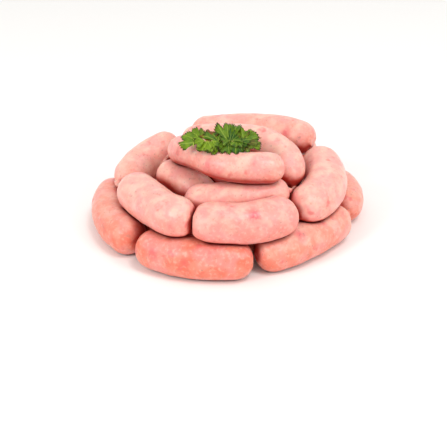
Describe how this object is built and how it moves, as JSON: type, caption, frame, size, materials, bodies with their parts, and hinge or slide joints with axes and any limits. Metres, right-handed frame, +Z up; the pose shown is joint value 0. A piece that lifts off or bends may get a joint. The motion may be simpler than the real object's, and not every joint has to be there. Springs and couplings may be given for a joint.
{
  "type": "string of sausage links",
  "caption": "Chain of plump raw pork sausage links in thin casing, twisted off end to end and heaped in a low round coil, with a sprig of parsley lying on top.",
  "frame": {"origin": "middle of the heap's bounding box, on the surface that it rests on", "axes": "+Z up, out of that surface; the heap's front, where the lowest links lie in a row, faces -Y, and +X is to the right of someone facing it from there"},
  "size_m": [0.2294, 0.2166, 0.098],
  "materials": {
    "raw_sausage": "moist, softly shining skin over pink meat with pale fat in it",
    "parsley_leaf": "matt green leaf with paler veins and stem"
  },
  "bodies": {
    "root": {"link_01_top_front": "raw_sausage", "link_02_inner_left": "raw_sausage", "link_03_inner_front": "raw_sausage", "link_04_top_middle": "raw_sausage", "link_05_left_back": "raw_sausage", "link_06_left_front": "raw_sausage", "link_07_front": "raw_sausage", "link_08_right": "raw_sausage", "link_09_top_back": "raw_sausage", "link_10_back": "raw_sausage", "link_11_low_right": "raw_sausage", "link_12_low_front_right": "raw_sausage", "link_13_low_front": "raw_sausage", "link_14_low_left": "raw_sausage", "link_15_low_left_back": "raw_sausage", "link_16_low_back": "raw_sausage", "link_17_core_right": "raw_sausage", "link_18_core_front": "raw_sausage", "link_19_core_left": "raw_sausage", "link_20_core_back": "raw_sausage", "link_21_core_middle": "raw_sausage", "parsley_sprig": "parsley_leaf"}
  },
  "joints": []
}
